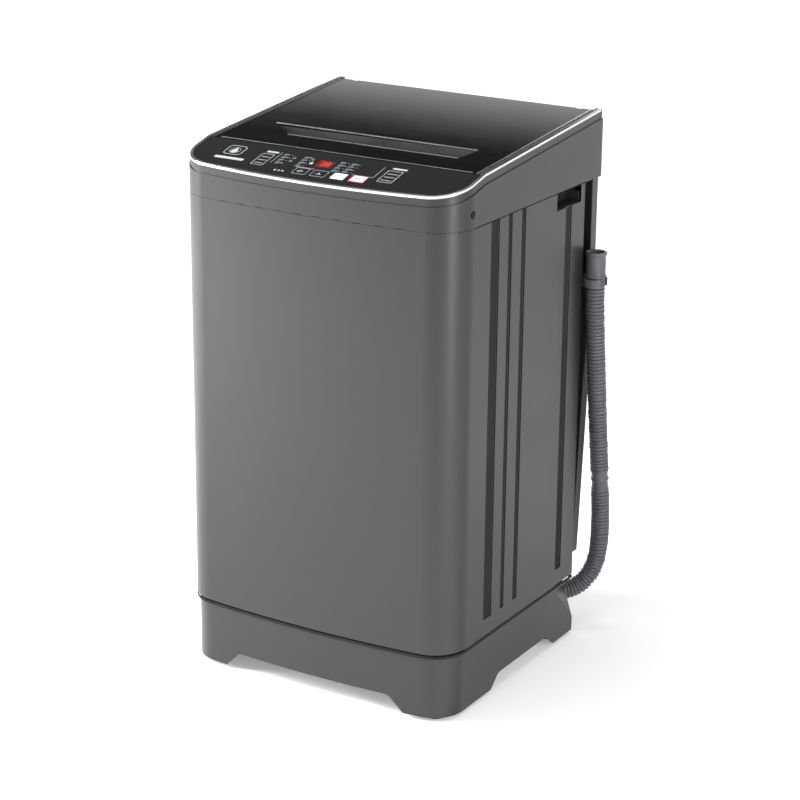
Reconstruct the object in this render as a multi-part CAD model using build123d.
from build123d import *
import math
import os

# Top load washing machine, in millimetres. The origin is on the floor under the
# centre of the cabinet, +Z up, the control panel towards -Y and +X to the right.

# ---- cabinet ----
WIDTH = 500.0
DEPTH = 480.0
HEIGHT = 895.0
FRONT_BULGE = 16.0            # how far the front bows out between its corners
CORNER_R = 58.0
SHEET = 1.2                   # steel sheet of the wrapper
SEAM_Z = 786.0                # wrapper below, plastic top cover above
BASE_Z = 115.0                # wrapper above, plastic base below
SHEET_REAR_Y = DEPTH / 2 - 55.0  # back edge of the side sheets
REAR_RETURN = 22.0            # side sheet folded inwards at the back
BOTTOM_FOLD = 11.0            # wrapper folded inwards where it stands on the base
GROOVE_DEPTH = 3.0
GROOVE_FOOT_Z = 143.0
GROOVES = [(62.0, 26.0), (116.0, 11.5), (157.5, 13.0)]  # start behind the corner, width
REAR_GROOVE = (64.0, 20.0)    # start ahead of the sheet's back edge, width
GRIP_Y = (SHEET_REAR_Y - 95.0, SHEET_REAR_Y - 13.0)  # carrying window in each side
GRIP_HEIGHT = 28.0
GRIP_POCKET_DEPTH = 26.0

# ---- base ----
BASE_INSET = 5.0
BASE_WALL = 3.5
BASE_FLOOR_Z = 6.0
BASE_REAR_Y = DEPTH / 2 - 40.0
BASE_TOP_GAP = 7.5            # dark joint line along the front
FOOT_ARCH_Z = 32.0            # front and rear arches between the feet
SIDE_ARCH_Z = 27.0
ARCH_SLOPE = 32.0             # run of each arch's sloping end
ARCH_R = 14.0
FRONT_ARCH_X = (-173.0, 175.0)
SIDE_ARCH_Y = (-88.0, 140.0)
PAD_R = 22.0
PAD_HEIGHT = 12.0
FOOT_FRONT = (WIDTH / 2 - 43.0, 49.0 - DEPTH / 2)
FOOT_REAR = (WIDTH / 2 - 35.0, BASE_REAR_Y - 29.0)
FOOT_PLACES = {"front_left": (-FOOT_FRONT[0], FOOT_FRONT[1]), "front_right": FOOT_FRONT,
               "rear_left": (-FOOT_REAR[0], FOOT_REAR[1]), "rear_right": FOOT_REAR}
FOOT_TRAVEL = 10.0

# ---- top cover, control panel and lid ----
PANEL_DEPTH = 100.0
LID_FRONT_Y = PANEL_DEPTH - DEPTH / 2
LID_FRONT_Z = 861.0           # knee between the control panel and the lid
PANEL_FRONT_Z = 836.0
COVER_WALL = 3.5
COVER_STEP_DROP = 15.0        # fine step that runs below the trim
COVER_STEP = 1.5
TRIM_WIDTH = 5.0
TRIM_PROUD = 0.8
VALVE_PLACE = (170.0, SEAM_Z + 43.0)
PANEL_THICK = 3.0
LID_THICK = 18.0
LID_SKIN = 3.0
LID_GAP = 1.2
LID_HALF_X = WIDTH / 2 - 14.0
LID_TRIM_WIDTH = 3.0
RIM_X = LID_HALF_X + LID_GAP
HINGE_R = LID_THICK / 2
MOUTH_X = 178.0
MOUTH_Y = (LID_FRONT_Y + 14.0, LID_FRONT_Y + 308.0)
MOUTH_R = 70.0
COLLAR_WALL = 2.5
COLLAR_FOOT_Z = SEAM_Z - 20.0
SLOT_U = (57.0, 99.0)         # finger grip, measured up the lid from its front edge
SLOT_DEPTH = 12.0

# ---- wash unit ----
AXIS_Y = -10.0
TUB_R = 212.0
TUB_WALL = 2.5
TUB_FLOOR_Z = 265.0
TUB_TOP_Z = 735.0
RING_TOP_Z = TUB_TOP_Z + 13.0
RING_BORE_R = TUB_R - 32.0
BASKET_R = TUB_R - 22.0
BASKET_WALL = 1.2
BASKET_FLOOR_Z = TUB_FLOOR_Z + 20.0
BASKET_TOP_Z = TUB_TOP_Z - 33.0
BALANCE_R = BASKET_R + 7.0
BALANCE_BORE_R = BASKET_R - 18.0
BALANCE_TOP_Z = BASKET_TOP_Z + 24.0
FILTER_Z = (BASKET_TOP_Z - 182.0, BASKET_TOP_Z - 82.0)
FILTER_HALF = 32.0
PULSATOR_R = BASKET_R - 30.0
SHAFT_R = 12.0
SPIN_TUBE_R = 17.0
RUN_GAP = 0.05                # radial running clearance of shafts
BIG_PULLEY_R = 85.0
SMALL_PULLEY_R = 26.0
BELT_Z = 108.0
BELT_HALF = 4.0
MOTOR_PLACE = (-125.0, -60.0)
MOTOR_R = 62.0
TUBE_PLACE = (-126.0, 188.0)   # air tube of the water level sensor
ROD_R = 4.0
ROD_OFF_X = WIDTH / 2 - 68.0
ROD_FRONT_Y = 68.0 - DEPTH / 2
ROD_REAR_Y = SHEET_REAR_Y - 33.0
BRACKET_Z = (SEAM_Z - 15.0, SEAM_Z - 12.0)
EAR_Z = 330.0
SPRING_SEAT_Z = 200.0
SPRING_COIL_R = 16.0
SPRING_WIRE_R = 2.2
SPRING_TURNS = 8
FIT = 0.3                     # gap between pieces that only lie beside each other

# ---- drain ----
HOSE_R = 16.0
DRAIN_X = 110.0
DRAIN_Y = 95.0
OUTLET_X = 130.0
OUTLET_Y = 118.0
OUTLET_Z = 64.0
HOSE_EXIT = (211.0, 212.0, 64.0)
CUFF_Z = (629.0, 670.0)
HOSE_ROUTE = [HOSE_EXIT, (225.58, 228.92, 64.0), (244.5, 250.5, 80.5), (256.0, 262.0, 110.0),
              (261.5, 262.0, 152.0), (264.0, 256.0, 206.0), (265.0, 247.0, 265.0),
              (265.3, 237.5, 325.0), (265.1, 229.0, 385.0), (264.9, 221.5, 445.0),
              (264.7, 214.5, 503.0), (264.4, 208.5, 556.0), (264.0, 205.0, 598.0),
              (264.0, 205.0, CUFF_Z[0])]

LID_SLOPE = (HEIGHT - LID_FRONT_Z) / (DEPTH / 2 - LID_FRONT_Y)
PANEL_SLOPE = (LID_FRONT_Z - PANEL_FRONT_Z) / (DEPTH / 2 + LID_FRONT_Y)
LID_ANGLE = math.atan(LID_SLOPE)
PANEL_ANGLE = math.atan(PANEL_SLOPE)
HINGE_Y = DEPTH / 2 - 3.0 - HINGE_R
LID_LENGTH = (HINGE_Y - LID_FRONT_Y - HINGE_R * math.sin(LID_ANGLE)) / math.cos(LID_ANGLE)
HINGE_Z = LID_FRONT_Z + LID_LENGTH * math.sin(LID_ANGLE) - HINGE_R * math.cos(LID_ANGLE)
LUG_R = 5.5
HINGE_X = LID_HALF_X - 31.0
DISPLAY_X = (-21.0, 7.0)
DISPLAY_U = (-49.0, -27.0)
KEYS = {"power_button": ((-78.0, -60.0), (25.0, 48.0)),
        "start_button": ((-78.0, -60.0), (59.0, 83.0)),
        "program_button": ((-78.0, -66.0), (-42.0, -20.0)),
        "level_button": ((-78.0, -66.0), (-10.0, 14.0))}
SCREW_PLACE = (CORNER_R - DEPTH / 2 + 6.0, SEAM_Z + 22.0)  # y and z of the screw in each front corner of the cover
REAR_TOP_Y = DEPTH / 2 - 2.0
REAR_LOW_Y = DEPTH / 2 - 32.0
REAR_KNEE_Z = 560.0
REAR_LOW_Z = 150.0
REAR_FOOT_Z = 118.0
REAR_WALL = 2.5
REAR_BOX_X = WIDTH / 2 - 24.0
REAR_LIP_X = WIDTH / 2 - 4.0
REAR_LIP_DEPTH = 18.0
GLAND_PLACE = (-180.0, 236.0)  # x and z of the mains lead grommet
LOW = (Align.CENTER, Align.CENTER, Align.MIN)


def block(x, y, z):
    """A box from pairs of limits."""
    size = (x[1] - x[0], y[1] - y[0], z[1] - z[0])
    centre = ((x[0] + x[1]) / 2, (y[0] + y[1]) / 2, (z[0] + z[1]) / 2)
    return Pos(*centre) * Box(*size)


def drum(radius, z, x=0.0, y=0.0):
    """An upright cylinder between two heights."""
    return Pos(x, y, z[0]) * Cylinder(radius, z[1] - z[0], align=LOW)


def ring(outer, bore, z, x=0.0, y=0.0):
    """An upright ring between two heights."""
    return drum(outer, z, x, y) - drum(bore, (z[0] - 1, z[1] + 1), x, y)


def mirrored(shape):
    """A shape and its mirror image in the YZ plane, as separate solids."""
    return Compound(children=[shape, mirror(shape, Plane.YZ)])


def group(shapes):
    """Several separate solids as one compound."""
    solids = []
    for shape in shapes:
        solids.extend(shape.solids())
    return Compound(children=solids)


def plan(inset, rear_y):
    """The cabinet's outline from above: bowed front, round front corners, flat back."""
    half = WIDTH / 2
    bow_r = (half ** 2 + FRONT_BULGE ** 2) / (2 * FRONT_BULGE)
    centre_y = -DEPTH / 2 + bow_r
    edge_x = half - inset
    edge_y = centre_y - math.sqrt((bow_r - inset) ** 2 - edge_x ** 2)
    bow = ThreePointArc((-edge_x, edge_y), (0, -DEPTH / 2 + inset), (edge_x, edge_y))
    sides = Polyline((edge_x, edge_y), (edge_x, rear_y), (-edge_x, rear_y), (-edge_x, edge_y))
    face = make_face([bow, sides])
    front = face.vertices().sort_by(Axis.Y)[0:2]
    return fillet(front, CORNER_R - inset)


def prism(face, z):
    """A flat outline raised between two heights."""
    return extrude(Pos(0, 0, z[0]) * face, amount=z[1] - z[0])


def deck_z(y):
    """Height of the top surface at a depth y."""
    if y < LID_FRONT_Y:
        return LID_FRONT_Z + PANEL_SLOPE * (y - LID_FRONT_Y)
    return LID_FRONT_Z + LID_SLOPE * (y - LID_FRONT_Y)


def under_deck(drop, low=700.0):
    """Everything below the two-slope top surface, lowered by drop."""
    front = -DEPTH / 2 - 30
    back = DEPTH / 2 + 30
    points = [(front, low), (front, deck_z(front) - drop), (LID_FRONT_Y, LID_FRONT_Z - drop),
              (back, deck_z(back) - drop), (back, low)]
    face = make_face(Polyline(*points, close=True))
    return extrude(Plane.YZ * face, amount=WIDTH, both=True)


def between_decks(drop, thick):
    """A layer that follows the top surface, from drop to drop + thick below it."""
    return under_deck(drop) - under_deck(drop + thick)


def on_panel(x, u, v):
    """A box in the control panel's own frame: u up the slope from the knee, v off it."""
    place = Plane(origin=(0, LID_FRONT_Y, LID_FRONT_Z), x_dir=(1, 0, 0),
                  z_dir=(0, -math.sin(PANEL_ANGLE), math.cos(PANEL_ANGLE)))
    return place * block(x, u, v)


def on_lid(x, u, v):
    """A box in the lid's own frame: u up the slope from its front edge, v off it."""
    place = Plane(origin=(0, LID_FRONT_Y, LID_FRONT_Z), x_dir=(1, 0, 0),
                  z_dir=(0, -math.sin(LID_ANGLE), math.cos(LID_ANGLE)))
    return place * block(x, u, v)


def round_rect(x, y, radius):
    """A rounded rectangle with its centre line on x = 0."""
    face = Pos(0, (y[0] + y[1]) / 2) * RectangleRounded(2 * x, y[1] - y[0], radius)
    return face


# ------------------------------------------------------------------ cabinet
def cabinet_shell():
    """Steel wrapper: bowed front and two sides in one sheet, with pressed grooves."""
    outer = prism(plan(0, SHEET_REAR_Y), (BASE_Z, SEAM_Z))
    inner = prism(plan(SHEET, SHEET_REAR_Y - SHEET), (BASE_Z - 1, SEAM_Z + 1))
    grooves = [(CORNER_R - DEPTH / 2 + back, wide) for back, wide in GROOVES]
    grooves.append((SHEET_REAR_Y - REAR_GROOVE[0], REAR_GROOVE[1]))
    for start, wide in grooves:
        y = (start, start + wide)
        for side in (-1, 1):
            x_out = sorted((side * (WIDTH / 2 - GROOVE_DEPTH), side * (WIDTH / 2 + 5)))
            outer -= block(x_out, y, (GROOVE_FOOT_Z, SEAM_Z + 1))
            x_in = sorted((side * (WIDTH / 2 - GROOVE_DEPTH - SHEET), side * (WIDTH / 2 + 5)))
            grown = (y[0] - SHEET, y[1] + SHEET)
            inner -= block(x_in, grown, (GROOVE_FOOT_Z - SHEET, SEAM_Z + 2))
    fold = prism(plan(0.5, SHEET_REAR_Y - 0.5) - plan(BOTTOM_FOLD, SHEET_REAR_Y + 2),
                 (BASE_Z, BASE_Z + SHEET))
    shell = outer - inner + fold
    open_x = WIDTH / 2 - REAR_RETURN
    shell -= block((-open_x, open_x), (SHEET_REAR_Y - 10, SHEET_REAR_Y + 5), (0, 900))
    for side in (-1, 1):
        x = sorted((side * (WIDTH / 2 - 10), side * (WIDTH / 2 + 5)))
        shell -= block(x, GRIP_Y, (SEAM_Z - GRIP_HEIGHT, SEAM_Z + 2))
    return shell


def grip_pocket():
    """Plastic pocket behind a carrying window, closed at the back and below."""
    outer_x = WIDTH / 2 - GROOVE_DEPTH - SHEET - FIT
    inner_x = outer_x - GRIP_POCKET_DEPTH
    wall = 2.0
    low = SEAM_Z - GRIP_HEIGHT
    y = (GRIP_Y[0] - wall, GRIP_Y[1] + wall)
    body = block((inner_x, outer_x), y, (low - wall, SEAM_Z - 12))
    body -= block((inner_x + wall, outer_x + 1), GRIP_Y, (low, SEAM_Z))
    back = block((inner_x, inner_x + wall), y, (low - wall, SEAM_Z + 10))
    return body + back


def corner_bracket():
    """Folded steel plate across a top corner that a suspension rod hangs from."""
    z = BRACKET_Z
    front = prism(plan(SHEET + FIT, 0), z)
    rod_y = ROD_FRONT_Y
    corner = make_face(Polyline((WIDTH / 2, rod_y + 45), (WIDTH / 2, -DEPTH / 2 - 5),
                                (ROD_OFF_X - 70, -DEPTH / 2 - 5), (ROD_OFF_X - 30, rod_y + 5),
                                close=True))
    plate = front & prism(corner, z)
    return plate - drum(ROD_R + 1.5, (z[0] - 9, z[1] + 9), ROD_OFF_X, rod_y)


def rear_bracket():
    """Folded steel plate at a rear top corner."""
    z = BRACKET_Z
    rod_y = ROD_REAR_Y
    side_x = WIDTH / 2 - GROOVE_DEPTH - SHEET - FIT
    back_y = SHEET_REAR_Y - SHEET - FIT
    corner = make_face(Polyline((side_x, rod_y - 45), (side_x, back_y), (ROD_OFF_X - 30, back_y),
                                (ROD_OFF_X - 30, rod_y + 14), (ROD_OFF_X - 10, rod_y - 12),
                                close=True))
    plate = prism(corner, z) - drum(ROD_R + 1.5, (z[0] - 9, z[1] + 9), ROD_OFF_X, rod_y)
    pocket_x = WIDTH / 2 - GROOVE_DEPTH - SHEET - GRIP_POCKET_DEPTH - 2 * FIT
    grip = (GRIP_Y[0] - 5, GRIP_Y[1] + 2 + FIT)
    return plate - block((pocket_x, WIDTH), grip, (z[0] - 9, z[1] + 9))


def corner_brackets():
    """All four hanging plates."""
    return group([mirrored(corner_bracket()), mirrored(rear_bracket())])


def rod_places():
    """The four suspension rods' axes."""
    return [(side * ROD_OFF_X, y) for side in (-1, 1) for y in (ROD_FRONT_Y, ROD_REAR_Y)]


def suspension_rods():
    """Four steel rods with a ball at the top and a nut under the spring cup."""
    rods = []
    for x, y in rod_places():
        top = BRACKET_Z[1] + 10
        rod = drum(ROD_R, (SPRING_SEAT_Z - 12, top + 2), x, y)
        rod += drum(8.0, (top, top + 6), x, y)
        rod += drum(7.0, (SPRING_SEAT_Z - 12, SPRING_SEAT_Z - 6), x, y)
        rods.append(rod)
    return group(rods)


def rod_seats():
    """Four domed plastic seats that let the rods swing in their plates."""
    seats = []
    for x, y in rod_places():
        low = BRACKET_Z[1]
        dome = Pos(x, y, low) * Cone(15.0, 9.0, 10.0, align=LOW)
        seats.append(dome - drum(ROD_R + RUN_GAP, (low - 4, low + 16), x, y))
    return group(seats)


def spring_cups():
    """Four cups at the rods' feet that carry the springs."""
    cups = []
    for x, y in rod_places():
        cup = drum(SPRING_COIL_R + 6, (SPRING_SEAT_Z - 6, SPRING_SEAT_Z + 12), x, y)
        cup -= drum(SPRING_COIL_R + 3.5, (SPRING_SEAT_Z, SPRING_SEAT_Z + 13), x, y)
        cups.append(cup - drum(ROD_R + RUN_GAP, (150, 250), x, y))
    return group(cups)


def suspension_springs():
    """Four coil springs between the cups and the tub's ears."""
    low = SPRING_SEAT_Z + SPRING_WIRE_R + FIT
    high = EAR_Z - 6 - SPRING_WIRE_R - FIT
    path = Helix(pitch=(high - low) / SPRING_TURNS, height=high - low, radius=SPRING_COIL_R)
    section = Plane(origin=path @ 0, z_dir=path % 0) * Circle(SPRING_WIRE_R)
    spring = sweep(section, path=path, is_frenet=True)
    return group([Pos(x, y, low) * spring for x, y in rod_places()])


def spring_seats():
    """Four rubber washers under the tub's ears."""
    return group([ring(SPRING_COIL_R + 5, ROD_R + 2, (EAR_Z - 6, EAR_Z), x, y)
                  for x, y in rod_places()])


# ------------------------------------------------------------------ base
def base_body(inset, z):
    """The base's block for one skin, with the rear corners sloped in."""
    body = prism(plan(inset, BASE_REAR_Y - inset + BASE_INSET), z)
    grow = inset - BASE_INSET
    side = WIDTH / 2 - BASE_INSET
    for sign in (-1, 1):
        normal = Vector(sign * 0.905, 0.309, 0.291)
        origin = Vector(sign * side, BASE_REAR_Y - 80, BASE_Z) - normal * grow
        cut = Plane(origin=origin, z_dir=normal) * Pos(0, 0, 200) * Box(700, 700, 400)
        body -= cut
    return body


def foot_arch(span, height):
    """Outline of the gap between two feet, with a sloping end at each foot."""
    outline = make_face(Polyline((span[0], 0), (span[0] + ARCH_SLOPE, height),
                                 (span[1] - ARCH_SLOPE, height), (span[1], 0), close=True))
    return fillet(outline.vertices().group_by(Axis.Y)[-1], ARCH_R)


def base_frame():
    """Plastic base: four corner feet joined by walls that arch between them."""
    body = base_body(BASE_INSET, (BASE_FLOOR_Z, BASE_Z - FIT))
    body -= base_body(BASE_INSET + BASE_WALL, (BASE_FLOOR_Z - 1, BASE_Z + 1))
    lip_y = BASE_REAR_Y - 25
    lip = prism(plan(12, lip_y) - plan(15, lip_y + 5), (BASE_Z - 15, BASE_Z + 10))
    shelf = plan(BASE_INSET + 1, lip_y) - plan(15, lip_y + 5)
    shelf = prism(shelf, (BASE_Z - 15, BASE_Z - 12))
    body = body + lip + shelf
    for place in FOOT_PLACES.values():
        post = drum(PAD_R + 6, (BASE_FLOOR_Z, 52), *place)
        body += post & base_body(BASE_INSET, (0, BASE_Z))
    corner_y = CORNER_R - DEPTH / 2
    front_gap = plan(0, corner_y + 14) - plan(11, corner_y + 22)
    front_gap = prism(front_gap, (BASE_Z - BASE_TOP_GAP, BASE_Z + 20))
    body -= front_gap
    front = Plane.XZ * foot_arch(FRONT_ARCH_X, FOOT_ARCH_Z)
    body -= Pos(0, -DEPTH / 2 - 5, 0) * extrude(front, amount=-60)
    body -= extrude(Plane.YZ * foot_arch(SIDE_ARCH_Y, SIDE_ARCH_Z), amount=WIDTH, both=True)
    body -= block((-150, 150), (BASE_REAR_Y - 30, BASE_REAR_Y + 10), (0, FOOT_ARCH_Z))
    for place in FOOT_PLACES.values():
        body -= drum(PAD_R + 0.5, (BASE_FLOOR_Z - 1, PAD_HEIGHT), *place)
    stem = FOOT_PLACES["front_right"]
    body -= drum(6.0 + RUN_GAP, (0, 60), *stem)
    body -= outlet_pipe(HOSE_R + 1.5)
    return body


def rubber_feet():
    """Three fixed rubber pads."""
    names = [name for name in FOOT_PLACES if name != "front_right"]
    pads = []
    for name in names:
        pad = drum(PAD_R, (0, PAD_HEIGHT), *FOOT_PLACES[name])
        pads.append(chamfer(pad.edges().group_by(Axis.Z)[0], 2))
    return group(pads)


def levelling_foot():
    """The adjustable foot: a pad on a screw that runs up into the base."""
    place = FOOT_PLACES["front_right"]
    pad = chamfer(drum(PAD_R, (0, PAD_HEIGHT - FIT), *place).edges().group_by(Axis.Z)[0], 2)
    return pad + drum(6.0, (5, 60), *place)


# ------------------------------------------------------------------ top cover
def top_cover():
    """Plastic top: console, sunken seat for the lid, mouth collar and valve pocket."""
    back = DEPTH / 2
    lower = prism(plan(0, back), (SEAM_Z, 910)) & under_deck(COVER_STEP_DROP)
    upper = prism(plan(COVER_STEP, back - COVER_STEP), (SEAM_Z, 910)) & under_deck(0)
    body = lower + upper
    inner = prism(plan(COVER_WALL, back - COVER_WALL), (SEAM_Z - 1, 910))
    console = block((-WIDTH, WIDTH), (-DEPTH, LID_FRONT_Y - COVER_WALL - LID_GAP), (700, 920))
    seat_drop = LID_THICK + LID_GAP
    body -= inner & under_deck(PANEL_THICK + 3.2) & console
    body -= inner & under_deck(seat_drop + 3.2)
    body -= between_decks(-20, 20 + seat_drop) & block((-RIM_X, RIM_X),
                                                       (LID_FRONT_Y - LID_GAP, back + 5),
                                                       (700, 940))
    inside = prism(plan(COVER_STEP + TRIM_WIDTH + 0.5, back), (780, 910))
    body -= between_decks(-20, 20 + PANEL_THICK) & inside & block(
        (-WIDTH, WIDTH), (-DEPTH, LID_FRONT_Y - LID_GAP), (700, 940))
    rabbet = prism(plan(-2, back + 2) - plan(COVER_STEP + TRIM_WIDTH, back + 4), (780, 910))
    body -= between_decks(-20, 20 + 3.5) & rabbet & block((-WIDTH, WIDTH), (-DEPTH, back - 4),
                                                          (700, 940))
    collar = prism(round_rect(MOUTH_X + COLLAR_WALL, (MOUTH_Y[0] - COLLAR_WALL,
                                                      MOUTH_Y[1] + COLLAR_WALL),
                              MOUTH_R + COLLAR_WALL), (COLLAR_FOOT_Z, 900))
    body += collar & under_deck(seat_drop + 1)
    body -= prism(round_rect(MOUTH_X, MOUTH_Y, MOUTH_R), (COLLAR_FOOT_Z - 1, 920))
    lip = prism(plan(5, 175) - plan(7.5, 180), (SEAM_Z - 9, SEAM_Z + 3))
    flange = prism(plan(2, back - 2) - plan(7.5, back - 7.5), (SEAM_Z, SEAM_Z + 3))
    body = body + lip + flange
    for side in (-1, 1):
        x = sorted((side * 215.0, side * 246.0))
        body -= block(x, (GRIP_Y[0] - 3, GRIP_Y[1] + 3), (SEAM_Z - 10, SEAM_Z - FIT))
        x = sorted((side * 212.0, side * 220.0))
        body -= block(x, (GRIP_Y[0] - 3, GRIP_Y[1] + 3), (SEAM_Z - 10, SEAM_Z + 11))
    x, z = VALVE_PLACE
    body += block((x - 34, x + 34), (back - 17.5, back - 2), (z - 29, z + 29))
    body -= block((x - 30, x + 30), (back - 14, back + 5), (z - 25, z + 25))
    body -= Pos(x, back - 10, z) * Rot(90, 0, 0) * Cylinder(20, 30)
    body -= block((x - 65, x - 15), (MOUTH_Y[1] - 5, MOUTH_Y[1] + 10), (z - 39, z - 18))
    for u, x in key_places():
        body -= on_panel((x[0] - 0.5, x[1] + 0.5), (u[0] - 0.5, u[1] + 0.5), (-12, 5))
    body -= on_panel((DISPLAY_X[0] + 2, DISPLAY_X[1] - 2), (DISPLAY_U[0] + 2, DISPLAY_U[1] - 2),
                     (-12, 5))
    for sx in (-1, 1):
        axle = Pos(sx * (HINGE_X + 6), HINGE_Y, HINGE_Z) * Rot(0, 90, 0)
        body += (axle * Cylinder(LUG_R, 10)) & block((-RIM_X, RIM_X), (200, 234), (700, 920))
        body += block(sorted((sx * (HINGE_X + 1), sx * (HINGE_X + 11))), (HINGE_Y - LUG_R, HINGE_Y + LUG_R),
                      (HINGE_Z - 13, HINGE_Z))
        body -= axle * Cylinder(3.0 + RUN_GAP, 40)
    body -= screw_recess_tool()
    return body


def key_places():
    """Openings for the keys, u then x."""
    return list(KEYS.values())


def screw_recess_tool():
    """Two round recesses for the cover's front screws, one on each side."""
    y, z = SCREW_PLACE
    hole = Pos(WIDTH / 2, y, z) * Rot(0, 90, 0) * Cylinder(6.0, 4.0)
    shank = Pos(WIDTH / 2, y, z) * Rot(0, 90, 0) * Cylinder(2.2, 30.0)
    tools = hole + shank
    return tools + mirror(tools, Plane.YZ)


def case_screws():
    """Pan head screws of the cover's front corners and of the back."""
    y, z = SCREW_PLACE
    head = Pos(WIDTH / 2 - 2.0, y, z) * Rot(0, 90, 0) * Cylinder(5.0, 2.4, align=LOW)
    shank = Pos(WIDTH / 2 - 12.0, y, z) * Rot(0, 90, 0) * Cylinder(2.0, 11.0, align=LOW)
    slot = block((WIDTH / 2 - 0.6, WIDTH / 2 + 1), (y - 3.5, y + 3.5), (z - 0.5, z + 0.5))
    cross = block((WIDTH / 2 - 0.6, WIDTH / 2 + 1), (y - 0.5, y + 0.5), (z - 3.5, z + 3.5))
    return group([mirrored(head + shank - slot - cross), rear_screws()])


def panel_trim():
    """Bright bead round the panel and up both sides of the lid."""
    back = DEPTH / 2 - 4.2
    outline = plan(COVER_STEP, back) - plan(COVER_STEP + TRIM_WIDTH - FIT, back + 2)
    bead = prism(outline, (780, 910)) & between_decks(-TRIM_PROUD, TRIM_PROUD + 3.3)
    return bead


def control_panel():
    """Gloss panel on the console, with openings for the keys and the display."""
    back = LID_FRONT_Y - LID_GAP - 1.0
    sheet = prism(plan(COVER_STEP + TRIM_WIDTH + 0.8, back), (780, 910))
    panel = sheet & between_decks(0, PANEL_THICK)
    for u, x in key_places():
        panel -= on_panel((x[0] - 0.4, x[1] + 0.4), (u[0] - 0.4, u[1] + 0.4), (-12, 5))
    return panel - on_panel(DISPLAY_X, DISPLAY_U, (-12, 5))


def display_window():
    """Lens over the time display, stepped so that it drops into the panel."""
    gap = 0.2
    lens = on_panel((DISPLAY_X[0] + gap, DISPLAY_X[1] - gap),
                    (DISPLAY_U[0] + gap, DISPLAY_U[1] - gap), (-PANEL_THICK + 0.2, 0))
    return lens


def key(name):
    """A key cap with the stem that presses its switch."""
    u, x = KEYS[name]
    cap = on_panel(x, u, (-PANEL_THICK - 2.0, 0.8))
    mid_x = (x[0] + x[1]) / 2
    mid_u = (u[0] + u[1]) / 2
    return cap + on_panel((mid_x - 3, mid_x + 3), (mid_u - 3, mid_u + 3), (-9.0, -4.0))


def control_board():
    """Circuit board under the console with its switches, relays and chips."""
    top = -14.5
    board = on_panel((-130, 130), (-90, -12), (top - 1.6, top))
    for u, x in key_places():
        mid_x = (x[0] + x[1]) / 2
        mid_u = (u[0] + u[1]) / 2
        board += on_panel((mid_x - 3, mid_x + 3), (mid_u - 3, mid_u + 3), (top - 0.1, top + 4.1))
    board += on_panel((DISPLAY_X[0] + 4, DISPLAY_X[1] - 4), (DISPLAY_U[0] + 4, DISPLAY_U[1] - 4),
                      (top - 0.1, -PANEL_THICK - 4.0))
    for index in range(4):
        x = -112.0 + 24 * index
        board += on_panel((x, x + 16), (-34, -16), (top - 16, top - 1.5))
    board += on_panel((20, 48), (-50, -22), (top - 5, top - 1.5))
    posts = [(-120.0, -80.0), (120.0, -80.0), (-120.0, -22.0), (120.0, -22.0)]
    for x, u in posts:
        board += on_panel((x - 4, x + 4), (u - 4, u + 4), (top - 0.1, -PANEL_THICK - 3.2 - FIT))
    return board


# ------------------------------------------------------------------ lid
def slot_face(grow):
    """Outline of the finger grip, wide at the hinge side and narrow at the front."""
    points = [(-190 - grow, SLOT_U[1] + grow), (-136 - grow, SLOT_U[0] - grow),
              (171 + grow, SLOT_U[0] - grow), (179 + grow, SLOT_U[1] + grow)]
    return make_face(Polyline(*points, close=True))


def lid_frame_plane():
    """The lid's own frame at its front edge."""
    return Plane(origin=(0, LID_FRONT_Y, LID_FRONT_Z), x_dir=(1, 0, 0),
                 z_dir=(0, -math.sin(LID_ANGLE), math.cos(LID_ANGLE)))


def lid_panel():
    """Gloss outer panel of the lid with its sunken finger grip."""
    place = lid_frame_plane()
    half = LID_HALF_X - LID_TRIM_WIDTH - FIT
    plate = Rectangle(2 * half, LID_LENGTH - 1.0, align=(Align.CENTER, Align.MIN))
    panel = extrude(plate, amount=-LID_SKIN)
    tray = extrude(slot_face(2.0), amount=-SLOT_DEPTH)
    panel = panel + tray
    scoop = loft([Pos(0, 0, 0.5) * slot_face(0),
                  Pos(0, 0, -SLOT_DEPTH + 2.0) * slot_face(-4.0)], ruled=True)
    return place * (panel - scoop)


def lid_frame():
    """Lower moulding of the lid: skirt, ribs and the round hinge barrel."""
    place = lid_frame_plane()
    length = LID_LENGTH
    half = LID_HALF_X
    low = -LID_THICK
    top = -LID_SKIN - FIT
    body = block((-half, half), (0, length), (low, top))
    body -= block((-half + 3, half - 3), (3, length - 14), (low + 2.5, top + 1))
    window = RectangleRounded(2 * 150.0, 190.0, 40)
    body -= Pos(0, length / 2 + 22, low) * extrude(window, amount=6, both=True)
    barrel = Pos(0, length, -HINGE_R) * Rot(0, 90, 0) * Cylinder(HINGE_R, 2 * half)
    body -= block((-half - 1, half + 1), (length, length + 20), (low - 1, 1))
    body += barrel & block((-half, half), (length - 1, length + 20), (-30, 5))
    body -= extrude(slot_face(2.6), amount=-SLOT_DEPTH - FIT)
    for sx in (-1, 1):
        near = sorted((sx * (HINGE_X - FIT), sx * (HINGE_X + 12 + FIT)))
        body -= block(near, (length - 17, length + 20), (low - 1, 5))
        bore = Pos(sx * HINGE_X, length, -HINGE_R) * Rot(0, 90, 0) * Cylinder(3.0, 60)
        body -= bore
    for sx in (-1, 1):
        x = sorted((sx * (half - LID_TRIM_WIDTH - 0.1), sx * (half + 1)))
        body -= block(x, (-1, length), (-4.3, 5))
    return place * body


def lid_trims():
    """Bright strips along both edges of the lid."""
    place = lid_frame_plane()
    x = (LID_HALF_X - LID_TRIM_WIDTH, LID_HALF_X)
    strip = place * block(x, (0, LID_LENGTH - 1.0), (-4.0, 0.5))
    return mirrored(strip)


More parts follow.
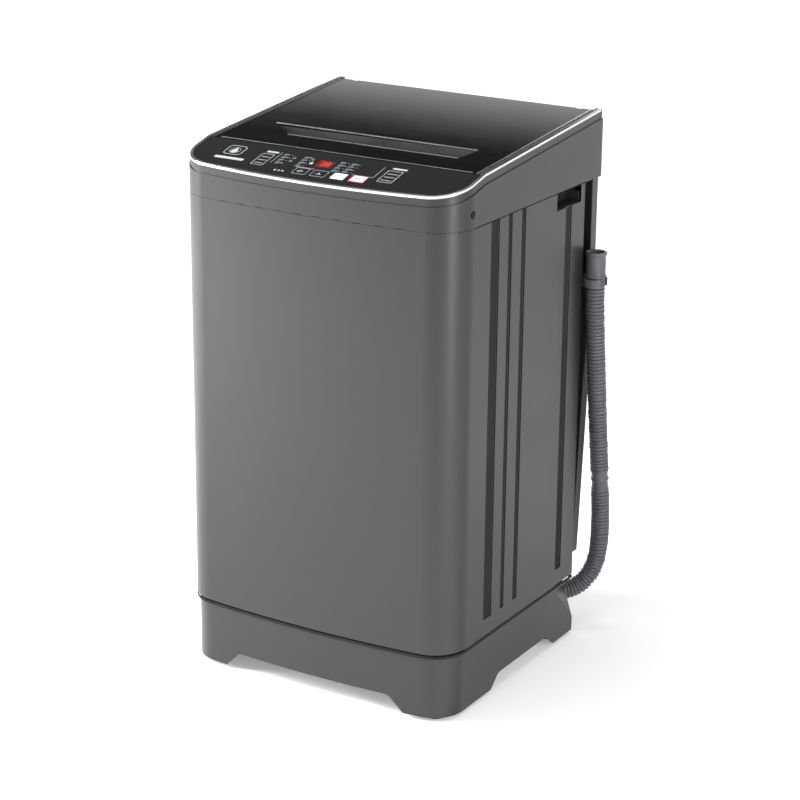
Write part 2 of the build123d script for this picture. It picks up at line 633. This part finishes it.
def hinge_pins():
    """Two steel pins, fixed in the lid and turning in the cover's lugs."""
    pin = Pos(HINGE_X + 6, HINGE_Y, HINGE_Z) * Rot(0, 90, 0) * Cylinder(3.0, 36)
    return mirrored(pin)


# ------------------------------------------------------------------ rear cover


def rear_block(x, front, drop, z):
    """A body whose back follows the rear cover's sloping face."""
    slope = (REAR_TOP_Y - REAR_LOW_Y) / (REAR_KNEE_Z - REAR_LOW_Z)
    foot_y = REAR_LOW_Y - slope * (REAR_LOW_Z - z[0])
    if isinstance(front, tuple):
        lead = front[0]
        low = [(foot_y - lead, z[0]), (REAR_TOP_Y - lead, REAR_KNEE_Z), (REAR_TOP_Y - lead, z[1])]
    else:
        low = [(front, z[0]), (front, z[1])]
    high = [(REAR_TOP_Y - drop, z[1]), (REAR_TOP_Y - drop, REAR_KNEE_Z), (foot_y - drop, z[0])]
    face = make_face(Polyline(*low, *high, close=True))
    return Pos(x[0], 0, 0) * extrude(Plane.YZ * face, amount=x[1] - x[0])


def rear_cover():
    """Moulded back with a hose channel down each side."""
    top = SEAM_Z - FIT
    z = (REAR_FOOT_Z, top)
    front = SHEET_REAR_Y + FIT
    body = rear_block((-REAR_BOX_X, REAR_BOX_X), front, 0, z)
    body -= rear_block((-REAR_BOX_X + REAR_WALL, REAR_BOX_X - REAR_WALL), front - 5, REAR_WALL,
                       (REAR_FOOT_Z - 0.01, top + 1))
    lip_z = (REAR_LOW_Z, top)
    wing = rear_block((REAR_BOX_X - 1, REAR_LIP_X), (REAR_WALL,), 0, lip_z)
    wing += rear_block((REAR_LIP_X - REAR_WALL, REAR_LIP_X), (REAR_LIP_DEPTH,), 0, lip_z)
    body = body + wing + mirror(wing, Plane.YZ)
    for index in range(5):
        z0 = 300 + index * 16
        body -= block((-70, 70), (190, 245), (z0, z0 + 7))
    gland = Pos(GLAND_PLACE[0], 220, GLAND_PLACE[1]) * Rot(90, 0, 0)
    return body - gland * Cylinder(4.0, 60)


def rear_screws():
    """Screws that hold the back to the side sheets' folded edges."""
    screws = []
    for z in (REAR_LOW_Z + 14, 360.0, 560.0):
        y = rear_y(z) + 0.5
        head = Pos(236, y, z) * Rot(-90, 0, 0) * Cylinder(4.5, 2.0, align=LOW)
        screws.append(mirrored(head))
    return group(screws)


def rear_y(z):
    """Depth of the rear cover's outer face at a height."""
    if z >= REAR_KNEE_Z:
        return REAR_TOP_Y
    return REAR_LOW_Y + (REAR_TOP_Y - REAR_LOW_Y) * (z - REAR_LOW_Z) / (REAR_KNEE_Z - REAR_LOW_Z)


def cable_gland():
    """Grommet in the back where a mains lead would leave."""
    x, z = GLAND_PLACE
    y = rear_y(z) + 1.0
    flange = Pos(x, y, z) * Rot(-90, 0, 0) * Cylinder(11.0, 4.0, align=LOW)
    return flange - Pos(x, y, z) * Rot(-90, 0, 0) * Cylinder(4.0, 20)


# ------------------------------------------------------------------ water
def inlet_valve():
    """Solenoid valve with a G3/4 thread that stands in the cover's rear pocket."""
    back = DEPTH / 2
    x, z = VALVE_PLACE
    spigot = Pos(x, back - 30, z) * Rot(-90, 0, 0) * Cylinder(13.2, 30, align=LOW)
    body = block((x - 18, x + 18), (back - 52, back - 22), (z - 18, z + 18))
    coil = Pos(x, back - 40, z + 12) * Cylinder(13.0, 16, align=LOW)
    bore = Pos(x, back - 24, z) * Rot(-90, 0, 0) * Cylinder(9.5, 30, align=LOW)
    return spigot + body + coil - bore


def water_chute():
    """Flat duct from the valve to the back of the mouth."""
    y0 = MOUTH_Y[1] + COLLAR_WALL + FIT
    x, z = VALVE_PLACE
    back = DEPTH / 2 - 20
    outer = block((x - 64, x + 34), (y0, back), (z - 41, z - 18.5))
    hollow = block((x - 62, x + 32), (y0 - 1, back - 2), (z - 39, z - 20.5))
    return outer - hollow - block((x - 64, x + 36), (y0 - 2, back - 20), (z - 49, z - 29))


def level_sensor():
    """Pressure switch that reads the water's height."""
    x, y = TUBE_PLACE
    return drum(25.0, (815, 838), x, y + 17) + drum(3.0, (806, 816), x, y)


def pressure_tube():
    """Straight air tube from the tub's air trap up to the sensor."""
    return ring(5.0, 3.2, (322, 813), *TUBE_PLACE)


# ------------------------------------------------------------------ tub
def outer_tub():
    """Plastic tub with four ears for the rods and the air trap."""
    body = drum(TUB_R, (TUB_FLOOR_Z, TUB_TOP_Z), 0, AXIS_Y)
    for x, y in rod_places():
        angle = math.degrees(math.atan2(y - AXIS_Y, x))
        reach = math.hypot(x, y - AXIS_Y) + SPRING_COIL_R + 1
        spoke = Pos(0, AXIS_Y, 0) * Rot(0, 0, angle)
        arm = block((TUB_R - 8, reach), (-21, 21), (EAR_Z, EAR_Z + 7))
        web = block((TUB_R - 8, TUB_R + 16), (-3, 3), (EAR_Z, EAR_Z + 45))
        body = body + spoke * arm + spoke * web
    tube_x, tube_y = TUBE_PLACE
    trap = drum(13.0, (285, 322), tube_x, tube_y)
    link_angle = math.degrees(math.atan2(tube_y - AXIS_Y, tube_x))
    reach = math.hypot(tube_x, tube_y - AXIS_Y)
    link = block((TUB_R - 8, reach), (-9, 9), (285, 318))
    link = Pos(0, AXIS_Y, 0) * Rot(0, 0, link_angle) * link
    body = body + trap + link
    body -= drum(TUB_R - TUB_WALL, (TUB_FLOOR_Z + 4, TUB_TOP_Z + 1), 0, AXIS_Y)
    for x, y in rod_places():
        body -= drum(ROD_R + 2, (300, 400), x, y)
    body -= drum(30.0, (TUB_FLOOR_Z - 1, TUB_FLOOR_Z + 6), 0, AXIS_Y)
    body -= drum(18.0, (TUB_FLOOR_Z - 1, TUB_FLOOR_Z + 6), DRAIN_X, DRAIN_Y)
    return body


def tub_ring():
    """Ring that closes the tub's rim round the mouth."""
    body = ring(TUB_R + 4, RING_BORE_R, (TUB_TOP_Z + FIT, RING_TOP_Z), 0, AXIS_Y)
    body -= ring(TUB_R - 1, RING_BORE_R + 5, (TUB_TOP_Z - 1, RING_TOP_Z - 3), 0, AXIS_Y)
    skirt = ring(TUB_R + 4, TUB_R + FIT, (TUB_TOP_Z - 10, TUB_TOP_Z + 2), 0, AXIS_Y)
    return body + skirt


def tub_seal():
    """Rubber lip seal round the spin tube in the tub's floor."""
    body = ring(29.5, SPIN_TUBE_R + RUN_GAP, (TUB_FLOOR_Z - 2, TUB_FLOOR_Z + 7), 0, AXIS_Y)
    return body


def chassis_plate():
    """Pressed steel plate under the tub that carries the drive."""
    z = (TUB_FLOOR_Z - 7, TUB_FLOOR_Z - 4)
    plate = drum(95, z, 0, AXIS_Y)
    mx, my = MOTOR_PLACE
    plate += drum(MOTOR_R + 8, z, mx, my)
    for angle in (0, 90, 180, 270):
        arm = Pos(0, AXIS_Y, 0) * Rot(0, 0, angle) * block((60, 200), (-22, 22), z)
        rim = Pos(0, AXIS_Y, 0) * Rot(0, 0, angle) * block((150, 200), (-22, 22),
                                                           (z[1] - 0.5, TUB_FLOOR_Z))
        plate = plate + arm + rim
    plate -= drum(46, (200, 300), 0, AXIS_Y)
    plate -= drum(30, (200, 300), DRAIN_X, DRAIN_Y)
    return plate


def clutch_housing():
    """Housing of the reduction gear and clutch, bolted under the plate."""
    top = TUB_FLOOR_Z - 7
    body = drum(70, (top - 6, top), 0, AXIS_Y) + drum(52, (150, top - 5), 0, AXIS_Y)
    body += drum(44, (150, TUB_FLOOR_Z - 2.5), 0, AXIS_Y)
    body += drum(34, (128, 151), 0, AXIS_Y)
    body -= drum(46.0, (156, 236), 0, AXIS_Y)
    body -= drum(26.0, (120, 160), 0, AXIS_Y)
    body -= drum(28.0, (235, 300), 0, AXIS_Y)
    body -= ring(60, 44.5, (top, 300), 0, AXIS_Y)
    return body


def bearings():
    """Ball bearings of the spin tube, the input shaft and the motor."""
    upper = ring(28.0, SPIN_TUBE_R + RUN_GAP, (240, 255), 0, AXIS_Y)
    lower = ring(26.0, 9.0 + RUN_GAP, (130, 144), 0, AXIS_Y)
    motor = ring(12.0, 6.0 + RUN_GAP, (148, 156), *MOTOR_PLACE)
    return group([upper, lower, motor])


def input_shaft():
    """Shaft from the pulley up into the clutch."""
    return drum(9.0, (BELT_Z - 6, 150), 0, AXIS_Y)


def pulley(radius, bore, x, y):
    """A grooved pulley for the belt."""
    body = drum(radius + 3, (BELT_Z - 8, BELT_Z + 8), x, y)
    groove_out = radius + 4
    cutter = ring(groove_out, radius - 5, (BELT_Z - BELT_HALF - 0.4, BELT_Z + BELT_HALF + 0.4), x, y)
    return body - cutter - drum(bore, (BELT_Z - 20, BELT_Z + 20), x, y)


def clutch_pulley():
    """Large pulley with lightening holes."""
    body = pulley(BIG_PULLEY_R, 9.0, 0, AXIS_Y)
    for index in range(6):
        angle = math.radians(60 * index)
        x = 50 * math.cos(angle)
        y = AXIS_Y + 50 * math.sin(angle)
        body -= drum(15, (BELT_Z - 20, BELT_Z + 20), x, y)
    return body


def motor_pulley():
    """Small pulley on the motor's shaft."""
    return pulley(SMALL_PULLEY_R, 6.0, *MOTOR_PLACE)


def drive_belt():
    """V-belt round both pulleys, drawn with straight sides."""
    mx, my = MOTOR_PLACE
    span = math.hypot(mx, my - AXIS_Y)
    angle = math.degrees(math.atan2(my - AXIS_Y, mx))

    def loop(extra):
        big = BIG_PULLEY_R + extra
        small = SMALL_PULLEY_R + extra
        lean = math.asin((big - small) / span)
        nx, ny = math.sin(lean), math.cos(lean)
        outline = make_face(Polyline((big * nx, big * ny), (span + small * nx, small * ny),
                                     (span + small * nx, -small * ny), (big * nx, -big * ny),
                                     close=True))
        return outline + Circle(big) + Pos(span, 0) * Circle(small)

    face = loop(1.5) - loop(-4.7)
    return Pos(0, AXIS_Y, BELT_Z - BELT_HALF) * Rot(0, 0, angle) * extrude(face,
                                                                          amount=2 * BELT_HALF)


def motor_housing():
    """Motor can with its end bells, hung from the plate."""
    x, y = MOTOR_PLACE
    top = TUB_FLOOR_Z - 7
    can = drum(MOTOR_R, (150, 240), x, y) - drum(MOTOR_R - 6, (154, 236), x, y)
    for dx, dy in ((50, 50), (-50, 50), (50, -50), (-50, -50)):
        can += drum(7, (239, top), x + dx * 0.8, y + dy * 0.8)
    can -= drum(12.0, (140, 155), x, y)
    for index in range(12):
        cut = Pos(x, y, 195) * Rot(0, 0, 30 * index) * Pos(MOTOR_R, 0, 0) * Box(16, 9, 50)
        can -= cut
    return can


def motor_rotor():
    """Rotor and shaft."""
    x, y = MOTOR_PLACE
    return drum(44, (165, 225), x, y) + drum(6.0, (BELT_Z - 10, 230), x, y)


def drain_valve():
    """Valve chamber under the tub with its outlet turned down."""
    top = TUB_FLOOR_Z
    body = drum(26, (215, top), DRAIN_X, DRAIN_Y) + drum(14, (190, 232), OUTLET_X, OUTLET_Y)
    body -= drum(17.5, (219, top + 5), DRAIN_X, DRAIN_Y)
    body -= drum(10.5, (180, 228), OUTLET_X, OUTLET_Y)
    port = Plane(origin=(DRAIN_X, DRAIN_Y, 223), z_dir=(OUTLET_X - DRAIN_X, OUTLET_Y - DRAIN_Y, 0))
    return body - port * Cylinder(3.5, 26, align=LOW)


def drain_actuator():
    """Small motor under the tub's floor, with the rod that pulls the drain valve open."""
    top = TUB_FLOOR_Z - FIT
    motor = block((45, 80), (80, 135), (top - 34, top))
    return motor + block((79, DRAIN_X - 26 - FIT), (DRAIN_Y - 2, DRAIN_Y + 2), (top - 24, top - 20))


def valve_plunger():
    """Rubber-tipped plunger of the drain valve."""
    return drum(16.5, (224, 250), DRAIN_X, DRAIN_Y)


def drain_bellows():
    """Flexible pipe between the moving valve and the fixed outlet."""
    body = ring(17.0, 14.3, (101, 214), OUTLET_X, OUTLET_Y)
    for index in range(8):
        z = 112 + 9.0 * index
        body += ring(20.0, 16.0, (z, z + 4.0), OUTLET_X, OUTLET_Y)
    return body


def outlet_pipe(radius):
    """The straight part of the outlet, from the elbow to where the hose starts."""
    dx = HOSE_EXIT[0] - OUTLET_X
    dy = HOSE_EXIT[1] - OUTLET_Y
    length = math.hypot(dx, dy)
    place = Plane(origin=(OUTLET_X, OUTLET_Y, OUTLET_Z), z_dir=(dx, dy, 0))
    return place * Cylinder(radius, length, align=LOW)


def drain_outlet():
    """Elbow in the base from the bellows to the drain hose."""
    elbow = drum(HOSE_R, (OUTLET_Z - HOSE_R, 92), OUTLET_X, OUTLET_Y)
    spigot = drum(14.0, (90, 112), OUTLET_X, OUTLET_Y)
    body = elbow + spigot + outlet_pipe(HOSE_R)
    body -= drum(10.5, (OUTLET_Z, 120), OUTLET_X, OUTLET_Y)
    return body - outlet_pipe(10.5)


def drain_hose():
    """Corrugated hose as a plain tube along its route."""
    points = [Vector(*p) for p in HOSE_ROUTE]
    radii = []
    for before, corner, after in zip(points, points[1:], points[2:]):
        turn = (corner - before).get_angle(after - corner)
        shorter = min((corner - before).length, (after - corner).length)
        radii.append(0.45 * shorter / math.tan(math.radians(turn) / 2))
    print("hose radii", [round(r) for r in radii])
    path = FilletPolyline(*points, radius=radii)
    tube = sweep(Plane(origin=path @ 0, z_dir=path % 0) * Circle(HOSE_R), path=path)
    ideal = math.pi * HOSE_R ** 2 * path.length
    print("hose length", round(path.length, 1), "volume ratio", round(tube.volume / ideal, 4))
    return tube


def hose_cuff():
    """Smooth end of the hose."""
    x, y = HOSE_ROUTE[-1][0:2]
    body = ring(HOSE_R + 0.8, 12.5, CUFF_Z, x, y)
    body += ring(HOSE_R + 1.8, 12.5, (CUFF_Z[1] - 3, CUFF_Z[1]), x, y)
    return body


def hose_clip():
    """Clip in the channel that holds the hose under its cuff."""
    x, y = HOSE_ROUTE[-1][0:2]
    z = (CUFF_Z[0] - 16, CUFF_Z[0] - 2)
    inner = HOSE_R + 0.6
    hook = ring(inner + 3, inner, z, x, y)
    hook -= block((x + 6, x + 40), (y - 12, y + 12), (z[0] - 1, z[1] + 1))
    hook += block((REAR_BOX_X + FIT, x - inner - 1), (y - 9, y + 9), z)
    return hook


# ------------------------------------------------------------------ basket
def basket_drum():
    """Stainless wall of the basket with drain holes and the lint filter's rails."""
    body = ring(BASKET_R, BASKET_R - BASKET_WALL, (BASKET_FLOOR_Z + 12, BASKET_TOP_Z), 0, AXIS_Y)
    for row in range(3):
        z = BASKET_FLOOR_Z + 75 + row * 120
        for index in range(12):
            hole = Pos(0, AXIS_Y, z) * Rot(0, 0, 30 * index + 15 * (row % 2)) * Rot(0, 90, 0)
            body -= hole * Pos(0, 0, BASKET_R) * Cylinder(4.0, 12)
    radius = BASKET_R - BASKET_WALL
    band = prism(Circle(radius + 0.5) - Circle(radius - 16), (FILTER_Z[0] - 5, FILTER_Z[1] - 2))
    y, z = (radius - 40, radius + 40), (FILTER_Z[0] - 20, FILTER_Z[1] + 20)
    slot, edge = FILTER_HALF + 0.4, FILTER_HALF + 6
    rails = band & (block((-edge, -slot), y, z) + block((slot, edge), y, z))
    ledge = prism(Circle(radius + 0.5) - Circle(radius - 16), (FILTER_Z[0] - 5, FILTER_Z[0] - FIT))
    ledge = ledge & block((-edge, edge), y, z)
    return body + Pos(0, AXIS_Y, 0) * (rails + ledge)


def balance_ring():
    """Hollow ring of brine that keeps the basket true at speed."""
    z = (BASKET_TOP_Z - 14, BALANCE_TOP_Z)
    body = ring(BALANCE_R, BALANCE_BORE_R, z, 0, AXIS_Y)
    body -= ring(BASKET_R + FIT, BASKET_R - BASKET_WALL - FIT, (z[0] - 1, BASKET_TOP_Z), 0, AXIS_Y)
    edges = body.edges().group_by(Axis.Z)[-1]
    return fillet(edges, 5)


def basket_base():
    """Plastic floor of the basket with its raised rim."""
    inner = BASKET_R - BASKET_WALL - FIT
    body = drum(BASKET_R, (BASKET_FLOOR_Z, BASKET_FLOOR_Z + 12), 0, AXIS_Y)
    body += ring(inner, inner - 3, (BASKET_FLOOR_Z + 11, BASKET_FLOOR_Z + 40), 0, AXIS_Y)
    body -= drum(SPIN_TUBE_R + 12, (200, 400), 0, AXIS_Y)
    for index in range(16):
        angle = math.radians(22.5 * index)
        for radius in (70, 105, 140):
            x = radius * math.cos(angle)
            y = AXIS_Y + radius * math.sin(angle)
            body -= drum(4, (200, 400), x, y)
    return body


def basket_hub():
    """Aluminium hub that joins the basket to the spin tube."""
    body = ring(SPIN_TUBE_R + 11.5, SPIN_TUBE_R, (BASKET_FLOOR_Z - 5, BASKET_FLOOR_Z + 14), 0,
                AXIS_Y)
    body += ring(90, SPIN_TUBE_R, (BASKET_FLOOR_Z - 6, BASKET_FLOOR_Z - FIT), 0, AXIS_Y)
    return body


def spin_tube():
    """Outer shaft that turns the basket, with the planet gear drum at its foot."""
    tube = ring(SPIN_TUBE_R, SHAFT_R + RUN_GAP, (160, BASKET_FLOOR_Z + 14), 0, AXIS_Y)
    return tube + ring(40, SHAFT_R + RUN_GAP, (160, 200), 0, AXIS_Y)


def lint_filter():
    """Slatted lint filter that slides up out of its rails."""
    radius = BASKET_R - BASKET_WALL - 1.0
    low, high = FILTER_Z
    body = prism(Circle(radius) - Circle(radius - 15), FILTER_Z)
    y, z = (radius - 40, radius + 40), (low - 20, high + 20)
    body = body & block((-FILTER_HALF, FILTER_HALF), y, z)
    hollow = prism(Circle(radius - 2) - Circle(radius - 13), (low + 3, high - 3))
    body -= hollow & block((-FILTER_HALF + 3, FILTER_HALF - 3), y, z)
    for row in range(5):
        z = low + 12 + 16 * row
        for column in range(4):
            x = -24.0 + 13 * column
            body -= block((x, x + 9), (radius - 40, radius - 5), (z, z + 9))
    return Pos(0, AXIS_Y, 0) * body


# ------------------------------------------------------------------ pulsator
def pulsator():
    """Dished disc with curved ribs in the floor of the basket."""
    low = BASKET_FLOOR_Z + 18
    disc = drum(PULSATOR_R, (low, low + 8), 0, AXIS_Y)
    disc += Pos(0, AXIS_Y, low + 7.9) * Cone(PULSATOR_R - 18, 60, 9, align=LOW)
    disc += drum(34, (low + 8, low + 30), 0, AXIS_Y)
    for index in range(6):
        fin = block((26, PULSATOR_R - 22), (-5, 5), (low + 8, low + 26))
        fin = chamfer(fin.edges().group_by(Axis.Z)[-1], 3.0)
        disc += Pos(0, AXIS_Y, 0) * Rot(0, 0, 60 * index) * fin
    disc -= drum(SHAFT_R, (low - 1, low + 22), 0, AXIS_Y)
    disc -= drum(5.0, (low, low + 40), 0, AXIS_Y)
    disc -= drum(26.0, (low + 26, low + 40), 0, AXIS_Y)
    return disc


def pulsator_screw():
    """Screw that holds the pulsator on its shaft, part of the shaft's node."""
    low = BASKET_FLOOR_Z + 18
    head = drum(9.0, (low + 26, low + 31), 0, AXIS_Y)
    return head - block((-6, 6), (AXIS_Y - 1, AXIS_Y + 1), (low + 29, low + 33)) + drum(
        4.6, (low + 22, low + 26.5), 0, AXIS_Y)


def pulsator_cap():
    """Dome that hides the screw."""
    low = BASKET_FLOOR_Z + 18
    dome = Pos(0, AXIS_Y, low + 30.0) * Cone(34.0, 20.0, 7, align=LOW)
    return dome - drum(25, (low + 29, low + 33), 0, AXIS_Y)


def agitator_shaft():
    """Inner shaft that turns the pulsator."""
    shaft = drum(SHAFT_R, (205, BASKET_FLOOR_Z + 40), 0, AXIS_Y)
    return group([shaft, pulsator_screw()])


PARTS = {
    "cabinet_shell": cabinet_shell,
    "grip_pockets": lambda: mirrored(grip_pocket()),
    "corner_brackets": corner_brackets,
    "suspension_rods": suspension_rods,
    "rod_seats": rod_seats,
    "spring_cups": spring_cups,
    "suspension_springs": suspension_springs,
    "base_frame": base_frame,
    "rubber_feet": rubber_feet,
    "levelling_foot": levelling_foot,
    "top_cover": top_cover,
    "case_screws": case_screws,
    "panel_trim": panel_trim,
    "control_panel": control_panel,
    "display_window": display_window,
    "control_board": control_board,
    "power_button": lambda: key("power_button"),
    "start_button": lambda: key("start_button"),
    "program_button": lambda: key("program_button"),
    "level_button": lambda: key("level_button"),
    "lid_panel": lid_panel,
    "lid_frame": lid_frame,
    "lid_trims": lid_trims,
    "hinge_pins": hinge_pins,
    "rear_cover": rear_cover,
    "cable_gland": cable_gland,
    "inlet_valve": inlet_valve,
    "water_chute": water_chute,
    "level_sensor": level_sensor,
    "pressure_tube": pressure_tube,
    "outer_tub": outer_tub,
    "spring_seats": spring_seats,
    "tub_ring": tub_ring,
    "tub_seal": tub_seal,
    "chassis_plate": chassis_plate,
    "clutch_housing": clutch_housing,
    "bearings": bearings,
    "input_shaft": input_shaft,
    "clutch_pulley": clutch_pulley,
    "motor_pulley": motor_pulley,
    "drive_belt": drive_belt,
    "motor_housing": motor_housing,
    "motor_rotor": motor_rotor,
    "drain_valve": drain_valve,
    "valve_plunger": valve_plunger,
    "drain_actuator": drain_actuator,
    "drain_bellows": drain_bellows,
    "drain_outlet": drain_outlet,
    "drain_hose": drain_hose,
    "hose_cuff": hose_cuff,
    "hose_clip": hose_clip,
    "basket_drum": basket_drum,
    "balance_ring": balance_ring,
    "basket_base": basket_base,
    "basket_hub": basket_hub,
    "spin_tube": spin_tube,
    "lint_filter": lint_filter,
    "pulsator": pulsator,
    "pulsator_cap": pulsator_cap,
    "agitator_shaft": agitator_shaft,
}

os.makedirs("parts", exist_ok=True)
for node, make in PARTS.items():
    export_step(make(), f"parts/{node}.step")
